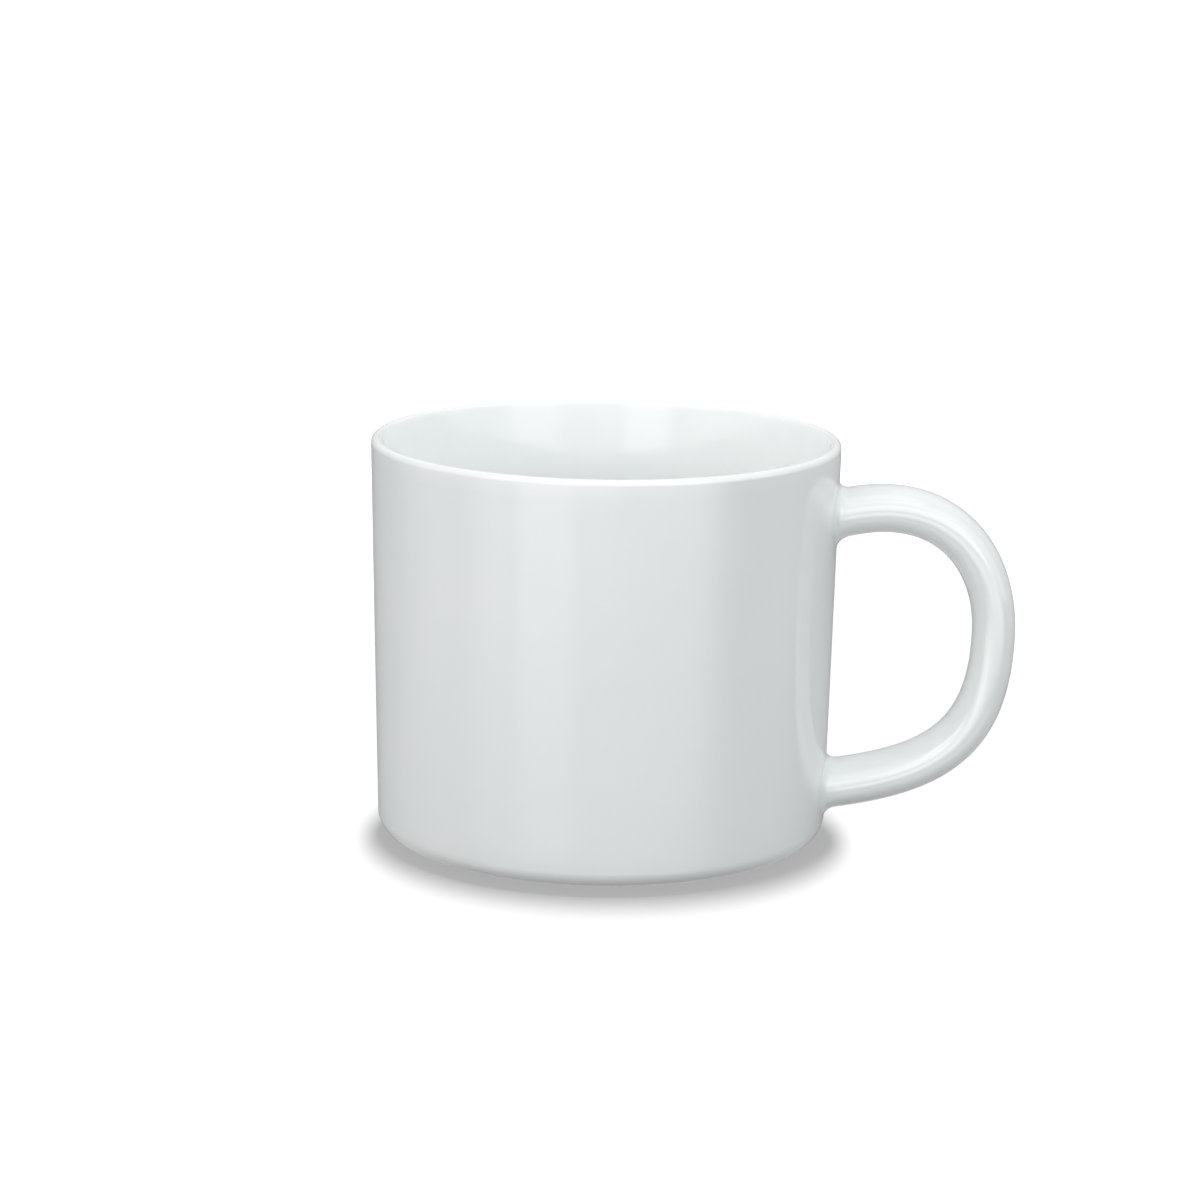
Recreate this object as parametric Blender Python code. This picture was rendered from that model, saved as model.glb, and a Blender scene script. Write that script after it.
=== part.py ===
"""Porcelain mug with a loop handle, built the way it is made.

A mug of this kind is three clay pieces before it is glazed: the thrown or
jiggered cup, the handle cast in its own mould, and the liquid clay (slip)
that lutes each end of the handle to the wall and is wiped into a small
fillet.  The four solids made here are

    cup_body            vessel with its lip, coved floor and foot ring
    handle              D-shaped loop of oval section, saddle-cut ends
    upper_handle_slip   fillet of slip between the upper arm and the wall
    lower_handle_slip   fillet of slip between the lower arm and the wall

Units are metres and +Z is up.  The mug stands on z = 0.  The handle points
along +X, and the origin is the middle of the whole mug's footprint box, so
the cup's own axis stands at x = AXIS_X.
"""
import math

import bmesh
import bpy
from mathutils import Vector

MM = 0.001

# ---------------------------------------------------------------- the cup
RIM_RADIUS = 42.5 * MM          # outside of the mouth
BASE_RADIUS = 41.15 * MM        # outside of the wall where the corner starts
HEIGHT = 74.2 * MM
CORNER_RADIUS = 3.5 * MM        # rounding from the wall to the base
BASE_LIFT = 1.2 * MM            # underside of the wall's corner above the table
LIP_OUTER = 1.1 * MM            # rounding on the outside of the lip
LIP_INNER = 0.9 * MM            # rounding on the inside of the lip
WALL = 3.6 * MM                 # wall well below the lip
LIP_CONE = 9.5 * MM             # depth over which the lip thickens as a cone
LIP_BLEND = 4.5 * MM            # further depth over which the cone dies out
FLOOR_TOP = 5.0 * MM            # inside floor above the table
FLOOR_COVE = 8.0 * MM           # inside rounding from the floor to the wall
FOOT_OUTER = 33.0 * MM          # foot ring, outside and inside radius
FOOT_INNER = 29.8 * MM
FOOT_EASE = 0.45 * MM           # softened edges of the foot ring
RECESS_TOP = 1.6 * MM           # ceiling of the hollow inside the foot ring
CUP_SEGMENTS = 72

# ------------------------------------------------------------- the handle
# The centreline is two cubic curves in the plane y = 0, from the upper root
# to the outermost point and from there to the lower root.  x is counted from
# the cup's axis.
ROOT_X = 41.0 * MM              # where both curves would end inside the wall
UPPER_Z = 60.66 * MM
UPPER_RISE = math.radians(17.6)
UPPER_REACH = 21.2 * MM         # control length leaving the upper root
APEX_X = 71.0 * MM
APEX_Z = 40.1 * MM
APEX_UP = 13.9 * MM             # control length above the outermost point
APEX_DOWN = 21.4 * MM           # control length below it
LOWER_Z = 10.44 * MM
LOWER_RISE = math.radians(8.5)
LOWER_REACH = 19.4 * MM
THICK_UPPER = 8.4 * MM          # section measured in the plane of the loop
THICK_APEX = 7.8 * MM
THICK_LOWER = 8.3 * MM
WIDTH_APEX = 12.6 * MM          # section measured across the loop, along Y
WIDTH_ROOT = 13.8 * MM
SECTION_POWER = 2.3             # superellipse: 2 is an ellipse, more is squarer
HANDLE_STATIONS = 22            # rings on each of the two curves
SECTION_SIDES = 28

# --------------------------------------------------------- the slip joints
GAP = 0.3 * MM                  # clearance that keeps the solids apart
SLIP_DEPTH = 2.3 * MM           # from the wall to where the handle starts
SLIP_FLARE = 1.9 * MM           # how far the fillet spreads on the wall
SLIP_STEPS = 6

# The outermost ring of the handle fixes the whole mug's length.
HANDLE_REACH = APEX_X + THICK_APEX / 2
AXIS_X = -(HANDLE_REACH - RIM_RADIUS) / 2


def clear_scene():
    for obj in list(bpy.data.objects):
        bpy.data.objects.remove(obj, do_unlink=True)


def make_material(name, colour, roughness, coat):
    mat = bpy.data.materials.new(name)
    mat.use_nodes = True
    shader = mat.node_tree.nodes["Principled BSDF"]
    shader.inputs["Base Color"].default_value = (*colour, 1.0)
    shader.inputs["Roughness"].default_value = roughness
    shader.inputs["Metallic"].default_value = 0.0
    shader.inputs["Coat Weight"].default_value = coat
    shader.inputs["Coat Roughness"].default_value = 0.03
    mat.diffuse_color = (*colour, 1.0)
    return mat


# ------------------------------------------------------------- cup surface
WALL_TOP = HEIGHT - LIP_OUTER
WALL_BOTTOM = BASE_LIFT + CORNER_RADIUS
TAPER = (RIM_RADIUS - BASE_RADIUS) / (WALL_TOP - WALL_BOTTOM)


def outer_radius(z):
    """Radius of the straight, slightly tapered outside wall."""
    return BASE_RADIUS + TAPER * (z - WALL_BOTTOM)


def wall_thickness(z):
    """Thin at the lip, thickening as a straight cone that eases into WALL."""
    depth = min(max(WALL_TOP - z, 0.0), LIP_CONE + LIP_BLEND)
    lip = LIP_OUTER + LIP_INNER
    slope = (WALL - lip) / (LIP_CONE + LIP_BLEND / 2)
    past = max(depth - LIP_CONE, 0.0)
    return lip + slope * (depth - past * past / (2 * LIP_BLEND))


def arc(cx, cz, r, start, end, steps):
    """Points of a circular arc, both ends included, angles in degrees."""
    pts = []
    for i in range(steps + 1):
        a = math.radians(start + (end - start) * i / steps)
        pts.append((cx + r * math.cos(a), cz + r * math.sin(a)))
    return pts


def cup_profile():
    """Half section from the floor's centre, over the lip, to the underside."""
    pts = [(0.0, FLOOR_TOP)]
    # Cove between the floor and the inside wall.
    cove_z = FLOOR_TOP + FLOOR_COVE
    inner_r = outer_radius(cove_z) - wall_thickness(cove_z)
    pts += arc(inner_r - FLOOR_COVE, cove_z, FLOOR_COVE, -90, 0, 6)
    # Inside wall, thinning towards the lip.
    lip_in_z = HEIGHT - LIP_INNER
    below = (0.5, 1.0)                       # of the way up the plain wall
    top = WALL_TOP - LIP_CONE - LIP_BLEND
    heights = [cove_z + (top - cove_z) * t for t in below]
    heights += [top + LIP_BLEND * i / 3 for i in (1, 2, 3)]
    heights.append((heights[-1] + lip_in_z) / 2)
    for z in heights:
        pts.append((outer_radius(z) - wall_thickness(z), z))
    # Lip: inside rounding, then outside rounding.
    lip_in_r = RIM_RADIUS - LIP_OUTER - LIP_INNER
    pts += arc(lip_in_r + LIP_INNER, lip_in_z, LIP_INNER, 180, 90, 4)
    pts += arc(RIM_RADIUS - LIP_OUTER, WALL_TOP, LIP_OUTER, 90, 0, 4)[1:]
    # Outside wall and its corner.
    rows = 3
    for i in range(1, rows):
        z = WALL_TOP + (WALL_BOTTOM - WALL_TOP) * i / rows
        pts.append((outer_radius(z), z))
    pts += arc(BASE_RADIUS - CORNER_RADIUS, WALL_BOTTOM, CORNER_RADIUS, 0, -90, 5)
    # Foot ring with eased edges, then the hollow under the floor.
    pts.append((FOOT_OUTER, BASE_LIFT))
    pts += arc(FOOT_OUTER - FOOT_EASE, FOOT_EASE, FOOT_EASE, 0, -90, 2)
    pts += arc(FOOT_INNER + FOOT_EASE, FOOT_EASE, FOOT_EASE, -90, -180, 2)
    pts.append((FOOT_INNER, RECESS_TOP - FOOT_EASE))
    pts.append((FOOT_INNER - FOOT_EASE, RECESS_TOP))
    pts.append((0.0, RECESS_TOP))
    return pts


def make_cup(material):
    mesh = bpy.data.meshes.new("cup_body")
    verts = [(r, 0.0, z) for r, z in cup_profile()]
    edges = [(i, i + 1) for i in range(len(verts) - 1)]
    mesh.from_pydata(verts, edges, [])
    obj = bpy.data.objects.new("cup_body", mesh)
    bpy.context.collection.objects.link(obj)
    obj.location = (AXIS_X, 0.0, 0.0)
    turn = obj.modifiers.new("Turn", "SCREW")
    turn.axis = "Z"
    turn.angle = math.tau
    turn.steps = CUP_SEGMENTS
    turn.render_steps = CUP_SEGMENTS
    turn.use_merge_vertices = True
    turn.merge_threshold = 0.00001
    turn.use_smooth_shade = True
    mesh.materials.append(material)
    return obj


# ------------------------------------------------------- handle centreline
def cubic(p0, p1, p2, p3, t):
    return (p0 * (1 - t) ** 3 + p1 * 3 * (1 - t) ** 2 * t
            + p2 * 3 * (1 - t) * t * t + p3 * t ** 3)


def cubic_slope(p0, p1, p2, p3, t):
    return ((p1 - p0) * 3 * (1 - t) ** 2 + (p2 - p1) * 6 * (1 - t) * t
            + (p3 - p2) * 3 * t * t)


def handle_curves():
    """Control points (x, z) of the upper and the lower half of the loop."""
    up0 = Vector((ROOT_X, UPPER_Z))
    up1 = up0 + UPPER_REACH * Vector((math.cos(UPPER_RISE), math.sin(UPPER_RISE)))
    apex = Vector((APEX_X, APEX_Z))
    low3 = Vector((ROOT_X, LOWER_Z))
    low2 = low3 + LOWER_REACH * Vector((math.cos(LOWER_RISE), math.sin(LOWER_RISE)))
    upper = (up0, up1, apex + Vector((0, APEX_UP)), apex)
    lower = (apex, apex - Vector((0, APEX_DOWN)), low2, low3)
    return upper, lower


def ease(t):
    return 0.5 - 0.5 * math.cos(math.pi * t)


def loop_frame(u):
    """Centre, direction and half sizes at u: 0 upper root, 1 apex, 2 lower root.

    The point is in cup coordinates (x from the cup's axis), and the section
    runs along the in-plane normal and along Y.
    """
    upper, lower = handle_curves()
    curve, t = (upper, u) if u <= 1 else (lower, u - 1)
    c = cubic(*curve, t)
    d = cubic_slope(*curve, t).normalized()
    if u <= 1:
        thick = THICK_UPPER + (THICK_APEX - THICK_UPPER) * ease(u)
    else:
        thick = THICK_APEX + (THICK_LOWER - THICK_APEX) * ease(u - 1)
    away = abs(1 - u)
    width = WIDTH_APEX + (WIDTH_ROOT - WIDTH_APEX) * away ** 3
    return c, d, thick / 2, width / 2


def section_point(u, angle, grow=0.0):
    """A point of the oval section, optionally grown outwards by a margin."""
    c, d, a, b = loop_frame(u)
    normal = Vector((-d.y, d.x))
    if normal.dot(c - Vector((ROOT_X - 0.02, APEX_Z))) < 0:
        normal.negate()
    ca, sa = math.cos(angle), math.sin(angle)
    p = 2.0 / SECTION_POWER
    out = (a + grow) * math.copysign(abs(ca) ** p, ca)
    side = (b + grow) * math.copysign(abs(sa) ** p, sa)
    q = c + normal * out
    return Vector((q.x, side, q.y))


def root_direction(end):
    """Unit direction (x, 0, z) pointing from the handle into the wall."""
    _, d, _, _ = loop_frame(0.0 if end == "upper" else 2.0)
    v = Vector((d.x, 0.0, d.y))
    return -v if end == "upper" else v


def onto_wall(p, direction, offset):
    """Slide p along direction to the wall's outside grown by offset."""
    for _ in range(30):
        r = math.hypot(p.x, p.y)
        miss = r - (outer_radius(p.z) + offset)
        inward = -(direction.x * p.x + direction.y * p.y) / r
        p = p + direction * (miss / max(inward, 0.2))
    return p


def u_at_wall(end, offset):
    """Curve parameter where the centreline is offset from the wall."""
    lo, hi = (0.0, 1.0) if end == "upper" else (2.0, 1.0)
    for _ in range(60):
        mid = (lo + hi) / 2
        c, _, _, _ = loop_frame(mid)
        if c.x - outer_radius(c.y) < offset:
            lo = mid
        else:
            hi = mid
    return (lo + hi) / 2


def section_angles():
    return [math.tau * k / SECTION_SIDES for k in range(SECTION_SIDES)]


def add_ring(bm, points):
    return [bm.verts.new((p.x + AXIS_X, p.y, p.z)) for p in points]


def bridge(bm, ring_a, ring_b):
    n = len(ring_a)
    for k in range(n):
        bm.faces.new((ring_a[k], ring_a[(k + 1) % n], ring_b[(k + 1) % n], ring_b[k]))


def fan(bm, ring, centre):
    hub = bm.verts.new((centre.x + AXIS_X, centre.y, centre.z))
    n = len(ring)
    for k in range(n):
        bm.faces.new((ring[k], ring[(k + 1) % n], hub))


def saddle_rings(end, u, offset, scales):
    """Rings of the section at u, shrunk towards its centre and laid on the
    wall grown by offset, which gives the saddle-shaped end of an arm."""
    c, _, _, _ = loop_frame(u)
    mid = Vector((c.x, 0.0, c.y))
    rings = []
    for s in scales:
        pts = []
        for a in section_angles():
            p = mid + (section_point(u, a) - mid) * s
            pts.append(onto_wall(p, root_direction(end), offset))
        rings.append(pts)
    return rings, onto_wall(mid, root_direction(end), offset)


def finish_mesh(name, bm, material):
    bmesh.ops.recalc_face_normals(bm, faces=bm.faces[:])
    mesh = bpy.data.meshes.new(name)
    bm.to_mesh(mesh)
    bm.free()
    mesh.materials.append(material)
    mesh.shade_smooth()
    mesh.set_sharp_from_angle(angle=math.radians(40))
    obj = bpy.data.objects.new(name, mesh)
    bpy.context.collection.objects.link(obj)
    return obj


def make_handle(material):
    """Loft the oval section round the loop, with a saddle at each end."""
    bm = bmesh.new()
    rings = []
    u_start = u_at_wall("upper", SLIP_DEPTH + 1.6 * MM)
    u_stop = u_at_wall("lower", SLIP_DEPTH + 1.6 * MM)
    n = HANDLE_STATIONS
    us = [u_start + (1.0 - u_start) * i / n for i in range(n)]
    us += [1.0 + (u_stop - 1.0) * i / n for i in range(n + 1)]

    caps = {}
    for end, u in (("upper", u_start), ("lower", u_stop)):
        caps[end] = saddle_rings(end, u, SLIP_DEPTH, (1.0, 0.62, 0.3))

    first = [add_ring(bm, pts) for pts in reversed(caps["upper"][0])]
    rings += first
    rings += [add_ring(bm, [section_point(u, a) for a in section_angles()]) for u in us]
    last = [add_ring(bm, pts) for pts in caps["lower"][0]]
    rings += last
    for a, b in zip(rings, rings[1:]):
        bridge(bm, a, b)
    fan(bm, rings[0], caps["upper"][1])
    fan(bm, list(reversed(rings[-1])), caps["lower"][1])
    return finish_mesh("handle", bm, material)


def make_slip(name, end, material):
    """Fillet of slip: a saddle pad whose rim sweeps from the arm to the wall."""
    bm = bmesh.new()
    u = u_at_wall(end, SLIP_DEPTH + 1.6 * MM)
    arm_side, arm_mid = saddle_rings(end, u, SLIP_DEPTH - GAP, (0.3, 0.62, 1.0))
    wall_side, wall_mid = saddle_rings(end, u, GAP, (0.3, 0.62, 1.0))
    rings = [add_ring(bm, pts) for pts in arm_side]
    # Concave sweep: a quarter round from along the arm to along the wall.
    c, _, _, _ = loop_frame(u)
    mid = Vector((c.x, 0.0, c.y))
    for i in range(1, SLIP_STEPS + 1):
        t = math.radians(90.0 * i / SLIP_STEPS)
        offset = GAP + (SLIP_DEPTH - 2 * GAP) * (1 - math.sin(t))
        grow = SLIP_FLARE * (1 - math.cos(t))
        pts = [onto_wall(section_point(u, a, grow), root_direction(end), offset)
               for a in section_angles()]
        rings.append(add_ring(bm, pts))
    rings += [add_ring(bm, pts) for pts in reversed(wall_side)]
    for a, b in zip(rings, rings[1:]):
        bridge(bm, a, b)
    fan(bm, rings[0], arm_mid)
    fan(bm, list(reversed(rings[-1])), wall_mid)
    return finish_mesh(name, bm, material)


def main():
    clear_scene()
    porcelain = make_material("glazed_porcelain", (0.80, 0.835, 0.83), 0.16, 0.6)
    handle_porcelain = make_material("glazed_porcelain_handle", (0.80, 0.835, 0.83), 0.16, 0.6)
    slip = make_material("glazed_slip", (0.77, 0.82, 0.81), 0.2, 0.6)
    make_cup(porcelain)
    make_handle(handle_porcelain)
    make_slip("upper_handle_slip", "upper", slip)
    make_slip("lower_handle_slip", "lower", slip.copy())


main()
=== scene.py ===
"""The looks of the porcelain mug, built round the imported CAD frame.

The cup, the handle and the two slip fillets are rebuilt here as fine meshes on
the CAD model's own sizes, and get a fired-glaze material.  The floor, the
lights and the camera come last.
"""

import math

import bpy
import numpy as np
from mathutils import Matrix, Vector


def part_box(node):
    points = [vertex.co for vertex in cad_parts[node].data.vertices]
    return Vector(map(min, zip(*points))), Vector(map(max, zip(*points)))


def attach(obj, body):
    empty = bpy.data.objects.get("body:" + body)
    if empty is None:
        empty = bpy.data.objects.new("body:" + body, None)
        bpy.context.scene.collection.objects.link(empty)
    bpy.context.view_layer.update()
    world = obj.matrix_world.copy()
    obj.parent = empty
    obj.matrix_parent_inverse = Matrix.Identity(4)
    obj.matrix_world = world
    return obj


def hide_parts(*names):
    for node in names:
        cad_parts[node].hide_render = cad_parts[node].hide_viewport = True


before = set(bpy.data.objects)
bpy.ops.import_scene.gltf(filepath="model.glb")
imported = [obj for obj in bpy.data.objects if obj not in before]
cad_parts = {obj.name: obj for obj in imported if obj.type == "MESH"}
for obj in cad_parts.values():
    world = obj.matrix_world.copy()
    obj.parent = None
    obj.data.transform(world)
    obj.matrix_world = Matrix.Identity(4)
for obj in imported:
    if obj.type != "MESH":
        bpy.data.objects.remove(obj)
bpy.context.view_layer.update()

MM = 0.001

# ------------------------------------------------------------------ sizes
# Read off the CAD boxes where a box gives them, and repeated from the CAD
# model's constants where it doesn't.
cup_lo, cup_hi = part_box("cup_body")
handle_lo, handle_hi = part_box("handle")
AXIS_X = (cup_lo.x + cup_hi.x) / 2
RIM_RADIUS = (cup_hi.x - cup_lo.x) / 2
HEIGHT = cup_hi.z
BASE_RADIUS = RIM_RADIUS - 1.35 * MM
CORNER_RADIUS = 3.5 * MM
BASE_LIFT = 1.2 * MM
LIP_OUTER = 1.1 * MM
LIP_THICK = 2.0 * MM
WALL = 3.6 * MM
LIP_CONE = 9.5 * MM
LIP_BLEND = 4.5 * MM
FLOOR_TOP = 5.0 * MM
FLOOR_COVE = 8.0 * MM
FOOT_OUTER = 33.0 * MM
FOOT_INNER = 29.8 * MM
RECESS_TOP = 1.6 * MM

ROOT_X = 41.0 * MM
UPPER_Z, UPPER_RISE, UPPER_REACH = 60.66 * MM, math.radians(17.6), 21.2 * MM
LOWER_Z, LOWER_RISE, LOWER_REACH = 10.44 * MM, math.radians(8.5), 19.4 * MM
APEX_Z, APEX_UP, APEX_DOWN = 40.1 * MM, 13.9 * MM, 21.4 * MM
THICK_UPPER, THICK_APEX, THICK_LOWER = 8.4 * MM, 7.8 * MM, 8.3 * MM
WIDTH_APEX, WIDTH_ROOT = 12.6 * MM, 13.8 * MM
SECTION_POWER = 2.3
APEX_X = handle_hi.x - AXIS_X - THICK_APEX / 2
FILLET_DEPTH = 2.3 * MM          # how far up the arm each fillet starts
FILLET_FLARE = 1.9 * MM          # how far it spreads on the wall

# Mesh fineness
CUP_SEGMENTS = 288
LOOP_SIDES = 112
LOOP_STATIONS = 210

WALL_TOP = HEIGHT - LIP_OUTER
WALL_BOTTOM = BASE_LIFT + CORNER_RADIUS
TAPER = (RIM_RADIUS - BASE_RADIUS) / (WALL_TOP - WALL_BOTTOM)
SKEW = math.hypot(1.0, TAPER)    # length of the wall line per unit of height


def outer_radius(z):
    return BASE_RADIUS + TAPER * (z - WALL_BOTTOM)


def thickness(z):
    depth = np.clip(WALL_TOP - z, -1.0, LIP_CONE + LIP_BLEND)
    slope = (WALL - LIP_THICK) / (LIP_CONE + LIP_BLEND / 2)
    past = np.maximum(depth - LIP_CONE, 0.0)
    return LIP_THICK + slope * (depth - past * past / (2 * LIP_BLEND))


# ------------------------------------------------------------ mesh helpers
def new_object(name, verts, faces, smooth=True):
    mesh = bpy.data.meshes.new(name)
    mesh.from_pydata([tuple(v) for v in verts], [], faces)
    mesh.validate()
    if smooth:
        mesh.shade_smooth()
    obj = bpy.data.objects.new(name, mesh)
    bpy.context.scene.collection.objects.link(obj)
    return obj


def put_attribute(obj, name, values):
    layer = obj.data.attributes.new(name, "FLOAT", "POINT")
    layer.data.foreach_set("value", np.asarray(values, np.float32))


def arc(cx, cz, r, start, end, steps):
    a = np.radians(np.linspace(start, end, steps + 1))
    return list(zip(cx + r * np.cos(a), cz + r * np.sin(a)))


def smoothstep(x, lo, hi):
    t = np.clip((x - lo) / (hi - lo), 0.0, 1.0)
    return t * t * (3 - 2 * t)


# -------------------------------------------------------------- cup profile
GLAZED, BARE = 0, 1


def cup_profile():
    """(radius, height, zone) from the middle of the inside floor, over the
    lip and down the outside, to the middle of the hollow under the foot."""
    tilt = math.degrees(math.atan(TAPER))
    pts = []
    # Floor: a shallow dish, then the cove into the wall.
    cove_z = FLOOR_TOP + FLOOR_COVE
    wall_in = outer_radius(cove_z) - WALL
    cove_r = wall_in - FLOOR_COVE * SKEW
    for r in np.linspace(0.0, cove_r, 20)[:-1]:
        pts.append((r, FLOOR_TOP))
    pts += arc(cove_r, cove_z, FLOOR_COVE, -90, -tilt, 26)
    # Plain wall, then the cone that thins it towards the lip.
    z0 = pts[-1][1]
    z1 = WALL_TOP - LIP_CONE - LIP_BLEND
    zs = list(np.linspace(z0, z1, 16)[1:]) + list(np.linspace(z1, z1 + LIP_BLEND, 18)[1:])
    slope = (WALL - LIP_THICK) / (LIP_CONE + LIP_BLEND / 2)
    m = TAPER + slope                       # lean of the cone near the lip
    top_r = RIM_RADIUS - LIP_OUTER          # middle of the lip's crest
    # Radius of the inner rounding that meets the cone and the crest tangentially.
    line0 = RIM_RADIUS - LIP_THICK + m * (HEIGHT - WALL_TOP)
    lip_in = (top_r - line0) / (math.hypot(1, m) - m)
    z_join = HEIGHT - lip_in + lip_in * math.sin(math.atan(m))
    zs += list(np.linspace(z1 + LIP_BLEND, z_join, 16)[1:-1])
    for z in zs:
        pts.append((outer_radius(z) - float(thickness(z)), z))
    pts += arc(top_r, HEIGHT - lip_in, lip_in, 180 - math.degrees(math.atan(m)), 90, 18)
    pts += arc(top_r, WALL_TOP, LIP_OUTER, 90, -tilt, 20)[1:]
    # Outside wall and the corner at its foot.
    corner_r = outer_radius(WALL_BOTTOM) - CORNER_RADIUS * SKEW
    corner = arc(corner_r, WALL_BOTTOM, CORNER_RADIUS, -tilt, -90, 26)
    z_hi, z_lo = pts[-1][1], corner[0][1]
    for z in np.linspace(z_hi, z_lo, 30)[1:-1]:
        pts.append((outer_radius(z), z))
    pts += corner
    glazed = [(r, z, GLAZED) for r, z in pts]
    # Down the outside of the foot ring to where the glaze was wiped away.
    root = 0.5 * MM
    step = 0.09 * MM                        # the glaze's own thickness
    ease = 0.4 * MM
    glazed += [(r, z, GLAZED) for r, z in
               arc(FOOT_OUTER + root, BASE_LIFT - root, root, 90, 180, 8)]
    out = glazed
    out += [(r, z, BARE) for r, z in
            arc(FOOT_OUTER - 0.06 * MM, BASE_LIFT - root - 0.06 * MM, 0.06 * MM, 0, -90, 4)]
    r_out = FOOT_OUTER - step
    out += [(r, z, BARE) for r, z in arc(r_out - ease, ease, ease, 0, -90, 8)]
    r_in = FOOT_INNER + step
    for r in np.linspace(r_out - ease, r_in + ease, 6)[1:-1]:
        out.append((r, 0.0, BARE))
    out += [(r, z, BARE) for r, z in arc(r_in + ease, ease, ease, -90, -180, 8)]
    lip_z = 0.75 * MM
    out += [(r, z, BARE) for r, z in arc(FOOT_INNER + 0.06 * MM, lip_z, 0.06 * MM, -90, -180, 4)]
    # Hollow under the floor, slightly domed.
    hollow = arc(FOOT_INNER - root, RECESS_TOP - root, root, 0, 90, 8)
    out += [(r, z, GLAZED) for r, z in hollow]
    for r in np.linspace(FOOT_INNER - root, 0.0, 18)[1:]:
        dome = 0.25 * MM * (1 - (r / (FOOT_INNER - root)) ** 2)
        out.append((r, RECESS_TOP + dome, GLAZED))
    return out


def make_cup():
    prof = cup_profile()
    n = CUP_SEGMENTS
    ang = np.linspace(0, 2 * np.pi, n, endpoint=False)
    ca, sa = np.cos(ang), np.sin(ang)
    verts, rows = [], []
    for r, z, _ in prof:
        if r < 1e-9:
            rows.append([len(verts)])
            verts.append((AXIS_X, 0.0, z))
        else:
            rows.append(list(range(len(verts), len(verts) + n)))
            verts += list(zip(AXIS_X + r * ca, r * sa, np.full(n, z)))
    faces, zones = [], []
    for i in range(len(prof) - 1):
        a, b = rows[i], rows[i + 1]
        zone = BARE if BARE in (prof[i][2], prof[i + 1][2]) else GLAZED
        for k in range(n):
            k1 = (k + 1) % n
            if len(a) == 1:
                faces.append((a[0], b[k], b[k1]))
            elif len(b) == 1:
                faces.append((a[k], b[0], a[k1]))
            else:
                faces.append((a[k], b[k], b[k1], a[k1]))
            zones.append(zone)
    obj = new_object("cup_glazed_body", verts, faces)
    obj.data.polygons.foreach_set("material_index", zones)
    obj.data.update()
    return obj


# ------------------------------------------------------------------ handle
def bezier(p, t):
    t = t[..., None]
    return (p[0] * (1 - t) ** 3 + p[1] * 3 * (1 - t) ** 2 * t
            + p[2] * 3 * (1 - t) * t * t + p[3] * t ** 3)


def bezier_slope(p, t):
    t = t[..., None]
    return ((p[1] - p[0]) * 3 * (1 - t) ** 2 + (p[2] - p[1]) * 6 * (1 - t) * t
            + (p[3] - p[2]) * 3 * t * t)


_apex = np.array([APEX_X, APEX_Z])
_up0 = np.array([ROOT_X, UPPER_Z])
_low3 = np.array([ROOT_X, LOWER_Z])
UPPER_CURVE = [_up0, _up0 + UPPER_REACH * np.array([math.cos(UPPER_RISE), math.sin(UPPER_RISE)]),
               _apex + np.array([0.0, APEX_UP]), _apex]
LOWER_CURVE = [_apex, _apex - np.array([0.0, APEX_DOWN]),
               _low3 + LOWER_REACH * np.array([math.cos(LOWER_RISE), math.sin(LOWER_RISE)]), _low3]


def loop_surface(u, angle):
    """Points of the handle's surface, in cup coordinates (x from the cup's
    axis).  u is 0 at the upper root, 1 at the outermost point and 2 at the
    lower root, and angle goes round the section, 0 on the outside."""
    u, angle = np.broadcast_arrays(np.asarray(u, float), np.asarray(angle, float))
    upper = (u <= 1)[..., None]
    c = np.where(upper, bezier(UPPER_CURVE, u), bezier(LOWER_CURVE, u - 1))
    d = np.where(upper, bezier_slope(UPPER_CURVE, u), bezier_slope(LOWER_CURVE, u - 1))
    d = d / np.linalg.norm(d, axis=-1, keepdims=True)
    normal = np.stack([-d[..., 1], d[..., 0]], -1)
    away = np.abs(1 - u)
    ease = 0.5 - 0.5 * np.cos(np.pi * (1 - away))
    root = np.where(u <= 1, THICK_UPPER, THICK_LOWER)
    thick = root + (THICK_APEX - root) * ease
    width = WIDTH_APEX + (WIDTH_ROOT - WIDTH_APEX) * away ** 3
    p = 2.0 / SECTION_POWER
    ca, sa = np.cos(angle), np.sin(angle)
    out = thick / 2 * np.sign(ca) * np.abs(ca) ** p
    side = width / 2 * np.sign(sa) * np.abs(sa) ** p
    q = c + normal * out[..., None]
    return np.stack([q[..., 0], side, q[..., 1]], -1)


def wall_offset(p):
    return np.hypot(p[..., 0], p[..., 1]) - outer_radius(p[..., 2])


def u_at_offset(end, angle, offset):
    """For each angle round the section, where on the loop its surface line is
    that far from the wall."""
    angle = np.asarray(angle, float)
    lo = np.full(angle.shape, -0.12 if end == "upper" else 2.12)
    hi = np.full(angle.shape, 0.5 if end == "upper" else 1.5)
    for _ in range(50):
        mid = (lo + hi) / 2
        near = wall_offset(loop_surface(mid, angle)) < offset
        lo, hi = np.where(near, mid, lo), np.where(near, hi, mid)
    return (lo + hi) / 2


def section_angles(n):
    """Angles spaced evenly along the outline of the oval section."""
    fine = np.linspace(0, 2 * np.pi, 4001)
    p = loop_surface(np.full(fine.shape, 0.6), fine)
    s = np.concatenate([[0], np.cumsum(np.linalg.norm(np.diff(p, axis=0), axis=1))])
    return np.interp(np.linspace(0, s[-1], n, endpoint=False), s, fine)


ANGLES = section_angles(LOOP_SIDES)


def grid_faces(rings, n, start=0):
    faces = []
    for i in range(rings - 1):
        for k in range(n):
            k1 = (k + 1) % n
            a = start + i * n
            faces.append((a + k, a + k1, a + n + k1, a + n + k))
    return faces


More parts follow.
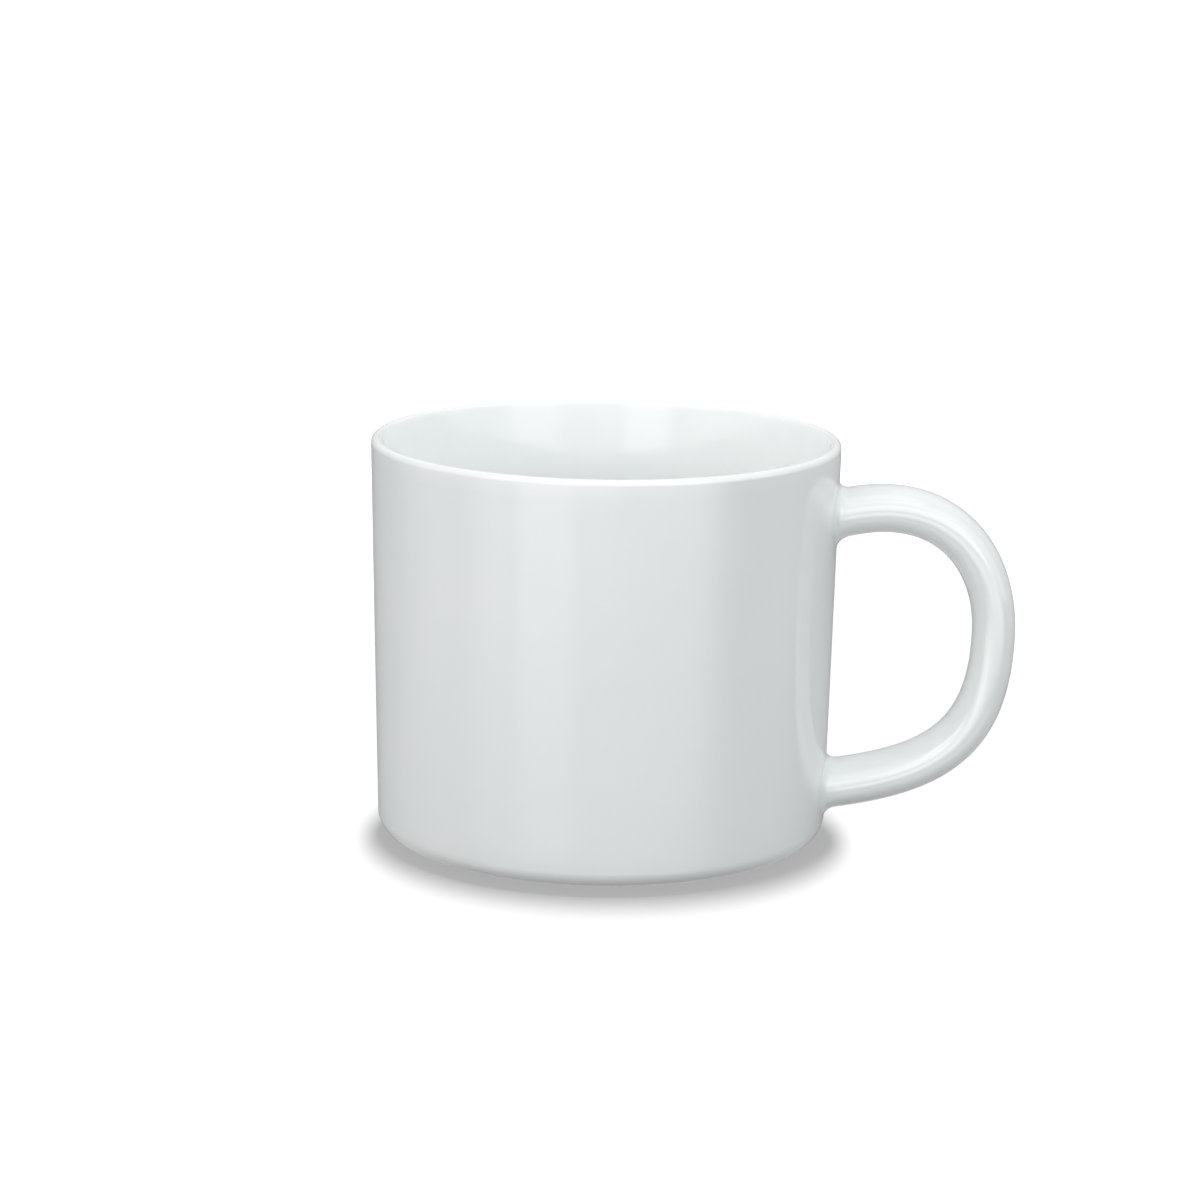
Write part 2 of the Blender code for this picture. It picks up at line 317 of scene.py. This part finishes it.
def close_ends(verts, faces, rings, n):
    """Caps both ends of a tube of rings with shrinking rings and a hub."""
    for first in (True, False):
        base = 0 if first else (rings - 1) * n
        ring = np.array(verts[base:base + n])
        mid = ring.mean(axis=0)
        prev = list(range(base, base + n))
        for s in (0.66, 0.33):
            now = list(range(len(verts), len(verts) + n))
            verts.extend((mid + (ring - mid) * s).tolist())
            for k in range(n):
                k1 = (k + 1) % n
                f = (prev[k], now[k], now[k1], prev[k1])
                faces.append(f if first else f[::-1])
            prev = now
        hub = len(verts)
        verts.append(mid.tolist())
        for k in range(n):
            k1 = (k + 1) % n
            f = (prev[k], hub, prev[k1])
            faces.append(f if first else f[::-1])


def to_row(p):
    q = np.array(p, float)
    q[..., 0] += AXIS_X
    return q


def orient(obj):
    """Turns all faces outwards."""
    import bmesh
    bm = bmesh.new()
    bm.from_mesh(obj.data)
    bmesh.ops.recalc_face_normals(bm, faces=bm.faces[:])
    bm.to_mesh(obj.data)
    bm.free()
    obj.data.update()


def make_handle():
    """The loop runs on under both fillets and ends inside the wall."""
    n = LOOP_SIDES
    inside = -1.2 * MM
    u_a = u_at_offset("upper", ANGLES, inside)
    u_b = u_at_offset("lower", ANGLES, inside)
    plane_a, plane_b = 0.34, 1.66           # plain cross sections from here on
    lead = np.linspace(0, 1, 46) ** 1.0
    rings = [loop_surface(u_a + (plane_a - u_a) * t, ANGLES) for t in lead]
    rings += [loop_surface(u, ANGLES) for u in np.linspace(plane_a, plane_b, LOOP_STATIONS - 90)[1:-1]]
    rings += [loop_surface(plane_b + (u_b - plane_b) * t, ANGLES) for t in lead]
    verts = to_row(np.concatenate(rings)).tolist()
    faces = grid_faces(len(rings), n)
    close_ends(verts, faces, len(rings), n)
    obj = new_object("handle_glazed_loop", verts, faces)
    orient(obj)
    obj.data.set_sharp_from_angle(angle=math.radians(50))
    return obj


def fillet_surface(end):
    """The fillet between one arm and the wall, rings from the arm to the wall."""
    n = LOOP_SIDES
    u0 = u_at_offset(end, ANGLES, 0.0)
    ud = u_at_offset(end, ANGLES, FILLET_DEPTH)
    w = loop_surface(u0, ANGLES)
    p0 = loop_surface(ud, ANGLES)
    eps = 1e-4 if end == "upper" else -1e-4
    tangent = p0 - loop_surface(ud + eps, ANGLES)          # towards the wall
    tangent /= np.linalg.norm(tangent, axis=-1, keepdims=True)

    def unroll(p):
        """(height off the wall, arc length round the wall, z)."""
        return np.stack([wall_offset(p), RIM_RADIUS * np.arctan2(p[:, 1], p[:, 0]), p[:, 2]], -1)

    def roll(q):
        r = outer_radius(q[..., 2]) + q[..., 0]
        a = q[..., 1] / RIM_RADIUS
        return np.stack([r * np.cos(a), r * np.sin(a), q[..., 2]], -1)

    wq, pq = unroll(w), unroll(p0)
    # Outward direction of the joint's outline on the unrolled wall.
    along = np.roll(wq[:, 1:], -1, axis=0) - np.roll(wq[:, 1:], 1, axis=0)
    out = np.stack([along[:, 1], -along[:, 0]], -1)
    out /= np.linalg.norm(out, axis=-1, keepdims=True)
    if np.mean(np.sum(out * (wq[:, 1:] - wq[:, 1:].mean(axis=0)), -1)) < 0:
        out = -out
    edge = wq.copy()
    edge[:, 1:] += FILLET_FLARE * out
    edge[:, 0] = 0.0
    reach = np.linalg.norm(w - p0, axis=-1, keepdims=True)
    c1 = unroll(p0 + tangent * reach * 0.66)
    c2 = edge.copy()
    c2[:, 1:] -= FILLET_FLARE * 0.66 * out
    steps = 26
    rings = []
    for t in np.linspace(0, 1, steps + 1):
        q = (pq * (1 - t) ** 3 + c1 * 3 * (1 - t) ** 2 * t + c2 * 3 * (1 - t) * t * t + edge * t ** 3)
        q[:, 0] = np.maximum(q[:, 0], 0.0) + 0.004 * MM * t
        rings.append(roll(q))
    # Hidden edge: tuck the rim into the wall, and the start into the arm.
    tuck = edge.copy()
    tuck[:, 0] = -0.4 * MM
    tuck[:, 1:] -= 0.3 * MM * out
    rings.append(roll(tuck))
    mid = p0.mean(axis=0)
    start = mid + (p0 - mid) * 0.93
    grid = np.array([start] + rings)
    return grid, steps


def make_fillet(name, end):
    n = LOOP_SIDES
    grid, steps = fillet_surface(end)
    rings = len(grid)
    verts = to_row(grid.reshape(-1, 3)).tolist()
    faces = grid_faces(rings, n)
    close_ends(verts, faces, rings, n)
    obj = new_object(name, verts, faces)
    orient(obj)
    # Shading normals worked out from the surface itself, so the fillet runs
    # into the arm and the wall without a seam.
    shown = grid[1:2 + steps]
    du = np.gradient(shown, axis=0, edge_order=2)
    da = np.roll(shown, -1, axis=1) - np.roll(shown, 1, axis=1)
    normal = np.cross(du, da)
    normal /= np.linalg.norm(normal, axis=-1, keepdims=True)
    centre = shown.mean(axis=(0, 1))
    if np.sum(normal * (shown - centre)) < 0:
        normal = -normal
    # On the wall's edge the fillet shares the wall's own normal.
    edge = shown[-1]
    flat = np.stack([edge[:, 0], edge[:, 1], -TAPER * np.hypot(edge[:, 0], edge[:, 1])], -1)
    normal[-1] = flat / np.linalg.norm(flat, axis=-1, keepdims=True)
    table = {}
    for i in range(len(shown)):
        for k in range(n):
            table[(i + 1) * n + k] = normal[i, k]
    mesh = obj.data
    lo, hi = n, (1 + steps) * n + n
    split = []
    for poly in mesh.polygons:
        seen = all(lo <= v < hi for v in poly.vertices)
        for v in poly.vertices:
            split.append(tuple(table[v]) if seen else tuple(poly.normal))
    mesh.normals_split_custom_set(split)
    return obj


def joint_distance(points):
    """Distance in metres from each point (cup coordinates) to the nearer
    fillet's outline on the wall."""
    best = np.full(len(points), 1.0)
    for end in ("upper", "lower"):
        grid, steps = fillet_surface(end)
        ring = np.concatenate([grid[1 + steps // 2][::4], grid[1 + steps][::4]])
        near = points[:, 0] > 0.02
        d = np.linalg.norm(points[near][:, None] - ring[None], axis=-1).min(axis=1)
        best[near] = np.minimum(best[near], d)
    return best


def glaze_attributes(obj):
    """pool_and_shade: 1 where glaze gathers in the joints, and painted shade there, in
    the inside floor's cove and at the foot of the outside wall.  thin_glaze_and_highlight: 1 on the lip, where
    glaze draws off the edge and the white body shows through, and a painted highlight there."""
    n = len(obj.data.vertices)
    co = np.zeros(n * 3)
    obj.data.vertices.foreach_get("co", co)
    co = co.reshape(-1, 3)
    p = co.copy()
    p[:, 0] -= AXIS_X
    d = joint_distance(p)
    # Joints: glaze pooling, darkened as painted shade as well.
    pool_and_shade = np.exp(-(d / (1.3 * MM)) ** 2)
    r = np.hypot(p[:, 0], p[:, 1])
    # Lip: thinner glaze, lightened as a painted highlight too.
    rim = np.where(r < RIM_RADIUS + 0.2 * MM, smoothstep(p[:, 2], HEIGHT - 1.7 * MM, HEIGHT - 0.3 * MM), 0.0)
    # Inside floor's cove: painted shade in the recess.
    cove = np.where(r < RIM_RADIUS - WALL, 1 - smoothstep(np.abs(p[:, 2] - FLOOR_TOP), 0.0, 6 * MM), 0.0)
    cove = cove * smoothstep(r, 0.5 * RIM_RADIUS, 0.86 * RIM_RADIUS)
    # Foot of the outside wall: painted shade near the table.
    foot = np.where(r < RIM_RADIUS - WALL, 0.0,
                    (1 - smoothstep(p[:, 2], 0.6 * MM, 3.2 * MM)) * (r < RIM_RADIUS))
    put_attribute(obj, "pool_and_shade", np.clip(pool_and_shade + 0.5 * cove + 0.35 * foot, 0, 1))
    put_attribute(obj, "thin_glaze_and_highlight", rim)


cup = make_cup()
handle = make_handle()
upper_fillet = make_fillet("upper_slip_fillet", "upper")
lower_fillet = make_fillet("lower_slip_fillet", "lower")
for piece in (cup, handle, upper_fillet, lower_fillet):
    glaze_attributes(piece)


# --------------------------------------------------------------- materials
def node(tree, kind, **settings):
    made = tree.nodes.new(kind)
    for key, value in settings.items():
        setattr(made, key, value)
    return made


def set_in(made, **values):
    for key, value in values.items():
        made.inputs[key.replace("_", " ")].default_value = value


def colour_mix(tree, fac, a, b):
    """Mixes two colours; a and b are sockets or constant colours."""
    mix = node(tree, "ShaderNodeMix", data_type="RGBA", blend_type="MIX")
    for socket, value in ((0, fac), (6, a), (7, b)):
        if isinstance(value, bpy.types.NodeSocket):
            tree.links.new(value, mix.inputs[socket])
        elif socket == 0:
            mix.inputs[socket].default_value = value
        else:
            mix.inputs[socket].default_value = (*value, 1.0)
    return mix.outputs[2]


def noise(tree, coords, scale, detail, rough, distortion=0.0):
    tex = node(tree, "ShaderNodeTexNoise")
    set_in(tex, Scale=scale, Detail=detail, Roughness=rough, Distortion=distortion)
    tree.links.new(coords, tex.inputs["Vector"])
    return tex.outputs["Fac"]


def remap(tree, value, lo, hi, to_lo, to_hi):
    m = node(tree, "ShaderNodeMapRange", clamp=True)
    set_in(m, From_Min=lo, From_Max=hi, To_Min=to_lo, To_Max=to_hi)
    tree.links.new(value, m.inputs["Value"])
    return m.outputs["Result"]


def maths(tree, op, a, b):
    m = node(tree, "ShaderNodeMath", operation=op)
    for i, value in enumerate((a, b)):
        if isinstance(value, bpy.types.NodeSocket):
            tree.links.new(value, m.inputs[i])
        else:
            m.inputs[i].default_value = value
    return m.outputs[0]


PORCELAIN = (0.819, 0.835, 0.829)
PORCELAIN_COOL = (0.796, 0.817, 0.814)
BODY_WHITE = (0.86, 0.868, 0.86)
# Darker, greener glaze for the joints, cove and wall foot: pooled glaze in the joints, and painted shade in all
# three.
POOLED_AND_SHADED = (0.735, 0.782, 0.775)


def make_glaze(name):
    """White porcelain under a clear, faintly blue-green fired glaze."""
    mat = bpy.data.materials.new(name)
    mat.use_nodes = True
    tree = mat.node_tree
    shader = tree.nodes["Principled BSDF"]
    set_in(shader, IOR=1.5)
    shader.inputs["Metallic"].default_value = 0.0
    place = node(tree, "ShaderNodeTexCoord").outputs["Object"]

    # Colour: broad drifts of glaze thickness, and a very fine mottle.
    drift = noise(tree, place, 38.0, 3.0, 0.5, 0.3)
    mottle = noise(tree, place, 900.0, 2.0, 0.5)
    colour = colour_mix(tree, remap(tree, drift, 0.35, 0.65, 0.0, 1.0), PORCELAIN, PORCELAIN_COOL)
    colour = colour_mix(tree, remap(tree, mottle, 0.3, 0.7, 0.0, 0.12), colour, BODY_WHITE)
    pool_and_shade = node(tree, "ShaderNodeAttribute", attribute_name="pool_and_shade").outputs["Fac"]
    thin_glaze_and_highlight = node(tree, "ShaderNodeAttribute", attribute_name="thin_glaze_and_highlight").outputs["Fac"]
    # Painted shade in the joints, the cove and the wall's foot, with real glaze pooling in the joints.
    colour = colour_mix(tree, maths(tree, "MULTIPLY", pool_and_shade, 0.75), colour, POOLED_AND_SHADED)
    # Painted highlight on the lip, together with the white body showing through the thinner glaze.
    colour = colour_mix(tree, maths(tree, "MULTIPLY", thin_glaze_and_highlight, 0.85), colour, BODY_WHITE)
    tree.links.new(colour, shader.inputs["Base Color"])

    # Gloss: nearly even, a touch softer in drifts.
    gloss = noise(tree, place, 160.0, 3.0, 0.55)
    tree.links.new(remap(tree, gloss, 0.3, 0.7, 0.045, 0.085), shader.inputs["Roughness"])

    # Surface: long fired ripples and a fine orange peel.
    ripple = noise(tree, place, 90.0, 2.0, 0.45)
    peel = noise(tree, place, 620.0, 2.0, 0.5)
    height = maths(tree, "ADD", maths(tree, "MULTIPLY", ripple, 0.6), maths(tree, "MULTIPLY", peel, 0.07))
    bump = node(tree, "ShaderNodeBump")
    set_in(bump, Strength=0.05, Distance=0.0008)
    tree.links.new(height, bump.inputs["Height"])
    tree.links.new(bump.outputs["Normal"], shader.inputs["Normal"])
    mat.diffuse_color = (*PORCELAIN, 1.0)
    return mat


def make_bisque():
    """The foot ring's bare, fired body: matt, fine-grained, a little stained."""
    mat = bpy.data.materials.new("bare_foot_ring")
    mat.use_nodes = True
    tree = mat.node_tree
    shader = tree.nodes["Principled BSDF"]
    set_in(shader, IOR=1.45)
    place = node(tree, "ShaderNodeTexCoord").outputs["Object"]
    grain = noise(tree, place, 2600.0, 4.0, 0.6)
    stain = noise(tree, place, 120.0, 4.0, 0.6)
    colour = colour_mix(tree, remap(tree, stain, 0.45, 0.75, 0.0, 0.7), (0.80, 0.785, 0.75), (0.66, 0.63, 0.58))
    colour = colour_mix(tree, remap(tree, grain, 0.55, 0.8, 0.0, 0.35), colour, (0.55, 0.52, 0.48))
    tree.links.new(colour, shader.inputs["Base Color"])
    tree.links.new(remap(tree, grain, 0.2, 0.8, 0.55, 0.8), shader.inputs["Roughness"])
    bump = node(tree, "ShaderNodeBump")
    set_in(bump, Strength=0.35, Distance=0.00012)
    tree.links.new(grain, bump.inputs["Height"])
    tree.links.new(bump.outputs["Normal"], shader.inputs["Normal"])
    return mat


glaze = make_glaze("porcelain_glaze")
bisque = make_bisque()
cup.data.materials.append(glaze)
cup.data.materials.append(bisque)
for piece in (handle, upper_fillet, lower_fillet):
    piece.data.materials.append(glaze)

for piece, cad_node, slot in (
        (cup, "cup_body", "glazed_porcelain"),
        (handle, "handle", "glazed_porcelain"),
        (upper_fillet, "upper_handle_slip", "glazed_slip"),
        (lower_fillet, "lower_handle_slip", "glazed_slip")):
    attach(piece, "root")
    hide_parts(cad_node)


# ------------------------------------------------------------------- stage
CUP_AXIS = Vector((AXIS_X, 0.0, 0.0))
CAMERA_AZIMUTH = math.radians(3.0)
TURN = Matrix.Rotation(CAMERA_AZIMUTH, 4, "Z")


def placed(x, y, z):
    """A point given from the cup's axis as the camera sees it: x to its
    right, y away from it."""
    return CUP_AXIS + (TURN @ Vector((x, y, z)))


FLOOR_GAIN = 0.05                # how bright the lit floor looks
FLOOR_LIFT = 0.41                # how dark the deepest shadow gets
FLOOR_BOUNCE = 0.30              # how much light it throws back on the mug
UNDER_LIGHT = 0.80               # the same, inside the foot ring


def make_floor():
    """A pale table.  It is lit and glows past white, so only the mug's soft contact shadow
    shows on it.  The light it throws back on the glaze is its own glow, not the lamp's light bouncing, dimmed
    near the mug as painted contact shade."""
    side = 14.0
    obj = new_object("studio_floor", [(-side, -side, 0), (side, -side, 0), (side, side, 0), (-side, side, 0)],
                     [(0, 1, 2, 3)], smooth=False)
    mat = bpy.data.materials.new("studio_floor")
    mat.use_nodes = True
    tree = mat.node_tree
    tree.nodes.clear()
    out = node(tree, "ShaderNodeOutputMaterial")
    seen = node(tree, "ShaderNodeBsdfDiffuse")
    seen.inputs["Color"].default_value = (FLOOR_GAIN, FLOOR_GAIN, FLOOR_GAIN, 1.0)
    glow = node(tree, "ShaderNodeEmission")
    place = node(tree, "ShaderNodeTexCoord").outputs["Object"]
    from_cup = node(tree, "ShaderNodeVectorMath", operation="SUBTRACT")
    from_cup.inputs[1].default_value = (AXIS_X, 0.0, 0.0)
    tree.links.new(place, from_cup.inputs[0])
    length = node(tree, "ShaderNodeVectorMath", operation="LENGTH")
    tree.links.new(from_cup.outputs[0], length.inputs[0])
    # The table's own glow: painted light, weakest near the mug and white far off.
    tree.links.new(remap(tree, length.outputs["Value"], 0.14, 0.40, FLOOR_LIFT, 1.0), glow.inputs["Strength"])
    both = node(tree, "ShaderNodeAddShader")
    tree.links.new(seen.outputs[0], both.inputs[0])
    tree.links.new(glow.outputs[0], both.inputs[1])
    dim = node(tree, "ShaderNodeEmission")
    # Inside the foot ring it shines up, so the hollow shows from below.
    # The glow thrown back on the mug is dimmed near the mug as painted contact shade.
    outside = remap(tree, length.outputs["Value"], 0.034, 0.060, 0.3 * FLOOR_BOUNCE, FLOOR_BOUNCE)
    inside = remap(tree, length.outputs["Value"], 0.0315, 0.0325, UNDER_LIGHT, 0.0)
    tree.links.new(maths(tree, "ADD", outside, inside), dim.inputs["Strength"])
    mix = node(tree, "ShaderNodeMixShader")
    tree.links.new(node(tree, "ShaderNodeLightPath").outputs["Is Camera Ray"], mix.inputs[0])
    tree.links.new(dim.outputs[0], mix.inputs[1])
    tree.links.new(both.outputs[0], mix.inputs[2])
    # Seen from below it is clear, so the underside can be looked at.
    clear = node(tree, "ShaderNodeBsdfTransparent")
    sides = node(tree, "ShaderNodeMixShader")
    tree.links.new(node(tree, "ShaderNodeNewGeometry").outputs["Backfacing"], sides.inputs[0])
    tree.links.new(mix.outputs[0], sides.inputs[1])
    tree.links.new(clear.outputs[0], sides.inputs[2])
    tree.links.new(sides.outputs[0], out.inputs["Surface"])
    obj.data.materials.append(mat)
    obj.visible_glossy = False
    return obj


# The studio is a wrap of soft light panels, given by where they hang as seen
# from the mug: azimuth (0 behind the camera, growing to its right) and
# elevation, both in degrees, each with the width of its soft edge.
#   (azimuth from, to, softness), (elevation from, to, softness), strength
FADE = (-24, -8)                 # the front panels thin out towards the table
COOL = (0.94, 1.0, 1.014)
PLAIN_DIFFUSE_PANELS = {
    "dome": (None, (40, 200, 18), 0.90),
    "right_high": ((60, 140, 25), (20, 60, 15), 1.15),
    "front_left": ((-75, 5, 25), (-5, 40, 15), 1.94),
}
COOL_DIFFUSE_PANELS = {
    "front_right": ((5, 75, 25), (-5, 40, 15), 1.32),
    "back": ("back", (-5, 40, 15), 1.75),
    "left": ((-140, -75, 25), (-5, 40, 15), 0.66),
}
GLOSSY_PANELS = {
    "zenith": (None, (66, 200, 6), 1.7),
    "top_front": ((-60, 60, 14), (30, 72, 4), 2.6),
    "front_middle": ((-64, 54, 14), (10, 40, 4), 2.8),
    "front": ((-64, 56, 14), (FADE, 0, 5), 3.35),
    "band_left": ((-43, -15, 4), (FADE, 0, 5), 2.0),
    "middle": ((-14, 6, 6), (-12, 0, 4), 1.8),
    "front_high": ((-64, 56, 14), (0, 30, 5), 1.65),
    "box_left": ((-34, -10, 4), (1, 26, 4), 1.5),
    "box_right": ((26, 52, 4), (1, 26, 4), 1.2),
    "left": ((-108, -58, 20), (FADE, 60, 10), 1.95),
    "right": ((54, 100, 14), ((-4, 4), 60, 10), 1.8),
    "right_back": ((86, 400, 14), (-30, 6, 8), 0.34),
    "left_back": ((-400, -110, 14), (-30, 6, 8), 0.34),
    "back_high": ("back", (6, 60, 8), 0.45),
    "below_front": ((-64, 54, 14), (-40, -24, 6), 0.9),
    "below": (None, (-100, -28, 8), 0.85),
}


def make_world():
    world = bpy.data.worlds.new("studio")
    bpy.context.scene.world = world
    world.use_nodes = True
    world.cycles.sampling_method = "NONE"
    tree = world.node_tree
    tree.nodes.clear()
    place = node(tree, "ShaderNodeTexCoord").outputs["Generated"]
    split = node(tree, "ShaderNodeSeparateXYZ")
    tree.links.new(place, split.inputs[0])
    x, y, z = split.outputs
    degrees = 180.0 / math.pi
    elevation = maths(tree, "MULTIPLY", maths(tree, "ARCSINE", z, 0.0), degrees)
    turned = maths(tree, "MULTIPLY", maths(tree, "ARCTAN2", x, maths(tree, "MULTIPLY", y, -1.0)), degrees)
    azimuth = maths(tree, "SUBTRACT", turned, math.degrees(CAMERA_AZIMUTH))
    from_front = maths(tree, "ABSOLUTE", azimuth, 0.0)

    def edge(value, lo, hi, rising=True):
        m = node(tree, "ShaderNodeMapRange", interpolation_type="SMOOTHSTEP")
        set_in(m, From_Min=lo, From_Max=hi)
        m.inputs["To Min"].default_value = 0.0 if rising else 1.0
        m.inputs["To Max"].default_value = 1.0 if rising else 0.0
        tree.links.new(value, m.inputs["Value"])
        return m.outputs["Result"]

    def panel(around, up, strength):
        low, high, soft = up
        lo, hi = low if isinstance(low, tuple) else (low - soft, low + soft)
        total = maths(tree, "MULTIPLY", edge(elevation, lo, hi), strength)
        if high < 90:
            total = maths(tree, "MULTIPLY", total, edge(elevation, high - soft, high + soft, False))
        if around == "back":
            total = maths(tree, "MULTIPLY", total, edge(from_front, 90, 150))
        elif around:
            a, b, s = around
            if a > -180:
                total = maths(tree, "MULTIPLY", total, edge(azimuth, a - s, a + s))
            if b < 180:
                total = maths(tree, "MULTIPLY", total, edge(azimuth, b - s, b + s, False))
        return total

    def background(panels, colour=(1.0, 1.0, 1.0)):
        total = None
        for around, up, strength in panels.values():
            one = panel(around, up, strength)
            total = one if total is None else maths(tree, "ADD", total, one)
        made = node(tree, "ShaderNodeBackground")
        made.inputs["Color"].default_value = (*colour, 1.0)
        tree.links.new(total, made.inputs["Strength"])
        return made.outputs[0]

    out = node(tree, "ShaderNodeOutputWorld")
    path = node(tree, "ShaderNodeLightPath")
    by_gloss = node(tree, "ShaderNodeMixShader")
    tree.links.new(path.outputs["Is Glossy Ray"], by_gloss.inputs[0])
    both = node(tree, "ShaderNodeAddShader")
    tree.links.new(background(PLAIN_DIFFUSE_PANELS), both.inputs[0])
    tree.links.new(background(COOL_DIFFUSE_PANELS, COOL), both.inputs[1])
    tree.links.new(both.outputs[0], by_gloss.inputs[1])
    tree.links.new(background(GLOSSY_PANELS), by_gloss.inputs[2])
    by_camera = node(tree, "ShaderNodeMixShader")
    tree.links.new(path.outputs["Is Camera Ray"], by_camera.inputs[0])
    tree.links.new(by_gloss.outputs[0], by_camera.inputs[1])
    backdrop = node(tree, "ShaderNodeBackground")
    backdrop.inputs["Color"].default_value = (1.0, 1.0, 1.0, 1.0)
    backdrop.inputs["Strength"].default_value = 1.05
    tree.links.new(backdrop.outputs[0], by_camera.inputs[2])
    tree.links.new(by_camera.outputs[0], out.inputs["Surface"])


def make_shadow_light(floor, caster):
    """One soft lamp, nearly overhead and a little behind the mug, that lights
    only the table: it draws the short shadow in front of the mug."""
    back, side, distance = math.radians(2.3), math.radians(-0.5), 2.4
    data = bpy.data.lights.new("table_light", "AREA")
    data.shape = "ELLIPSE"
    data.size, data.size_y = 0.15, 0.54
    data.energy = SHADOW_LIGHT * math.pi ** 2 * distance ** 2
    lamp = bpy.data.objects.new("table_light", data)
    pos = placed(math.sin(side) * distance, math.sin(back) * distance, math.cos(back) * distance)
    lamp.location = pos
    lamp.rotation_mode = "QUATERNION"
    z_axis = (pos - placed(0, 0, 0)).normalized()
    x_axis = (TURN @ Vector((0.0, 1.0, 0.0))).cross(z_axis).normalized()
    axes = Matrix((x_axis, z_axis.cross(x_axis), z_axis)).transposed()
    lamp.rotation_quaternion = axes.to_quaternion()
    lamp.visible_camera = lamp.visible_glossy = False
    bpy.context.scene.collection.objects.link(lamp)
    only = bpy.data.collections.new("table_only")
    only.objects.link(floor)
    lamp.light_linking.receiver_collection = only
    block = bpy.data.collections.new("shadow_casters")
    block.objects.link(caster)
    lamp.light_linking.blocker_collection = block
    return lamp


SHADOW_LIGHT = 11.4
make_world()
make_shadow_light(make_floor(), cup)


def make_camera():
    """Pinhole 0.65 m from the cup, 13 degrees above it, with its small roll."""
    distance, elevation = 0.6539, math.radians(13.3782)
    data = bpy.data.cameras.new("camera")
    data.sensor_width = 36.0
    data.lens = 107.13
    data.clip_start, data.clip_end = 0.01, 60.0
    cam = bpy.data.objects.new("camera", data)
    bpy.context.scene.collection.objects.link(cam)
    pos = placed(0.0, -distance * math.cos(elevation), HEIGHT / 2 + distance * math.sin(elevation))
    target = placed(CAM_TARGET[0], 0.0, CAM_TARGET[1])
    cam.location = pos
    look = (target - pos).to_track_quat("-Z", "Y")
    roll = Matrix.Rotation(CAM_ROLL, 4, "Z").to_quaternion()
    cam.rotation_mode = "QUATERNION"
    cam.rotation_quaternion = look @ roll
    bpy.context.scene.camera = cam
    return cam


CAM_TARGET = (-0.00072676, 0.0438579)
CAM_ROLL = 0.0146058
make_camera()
bpy.context.scene.view_settings.view_transform = "Standard"
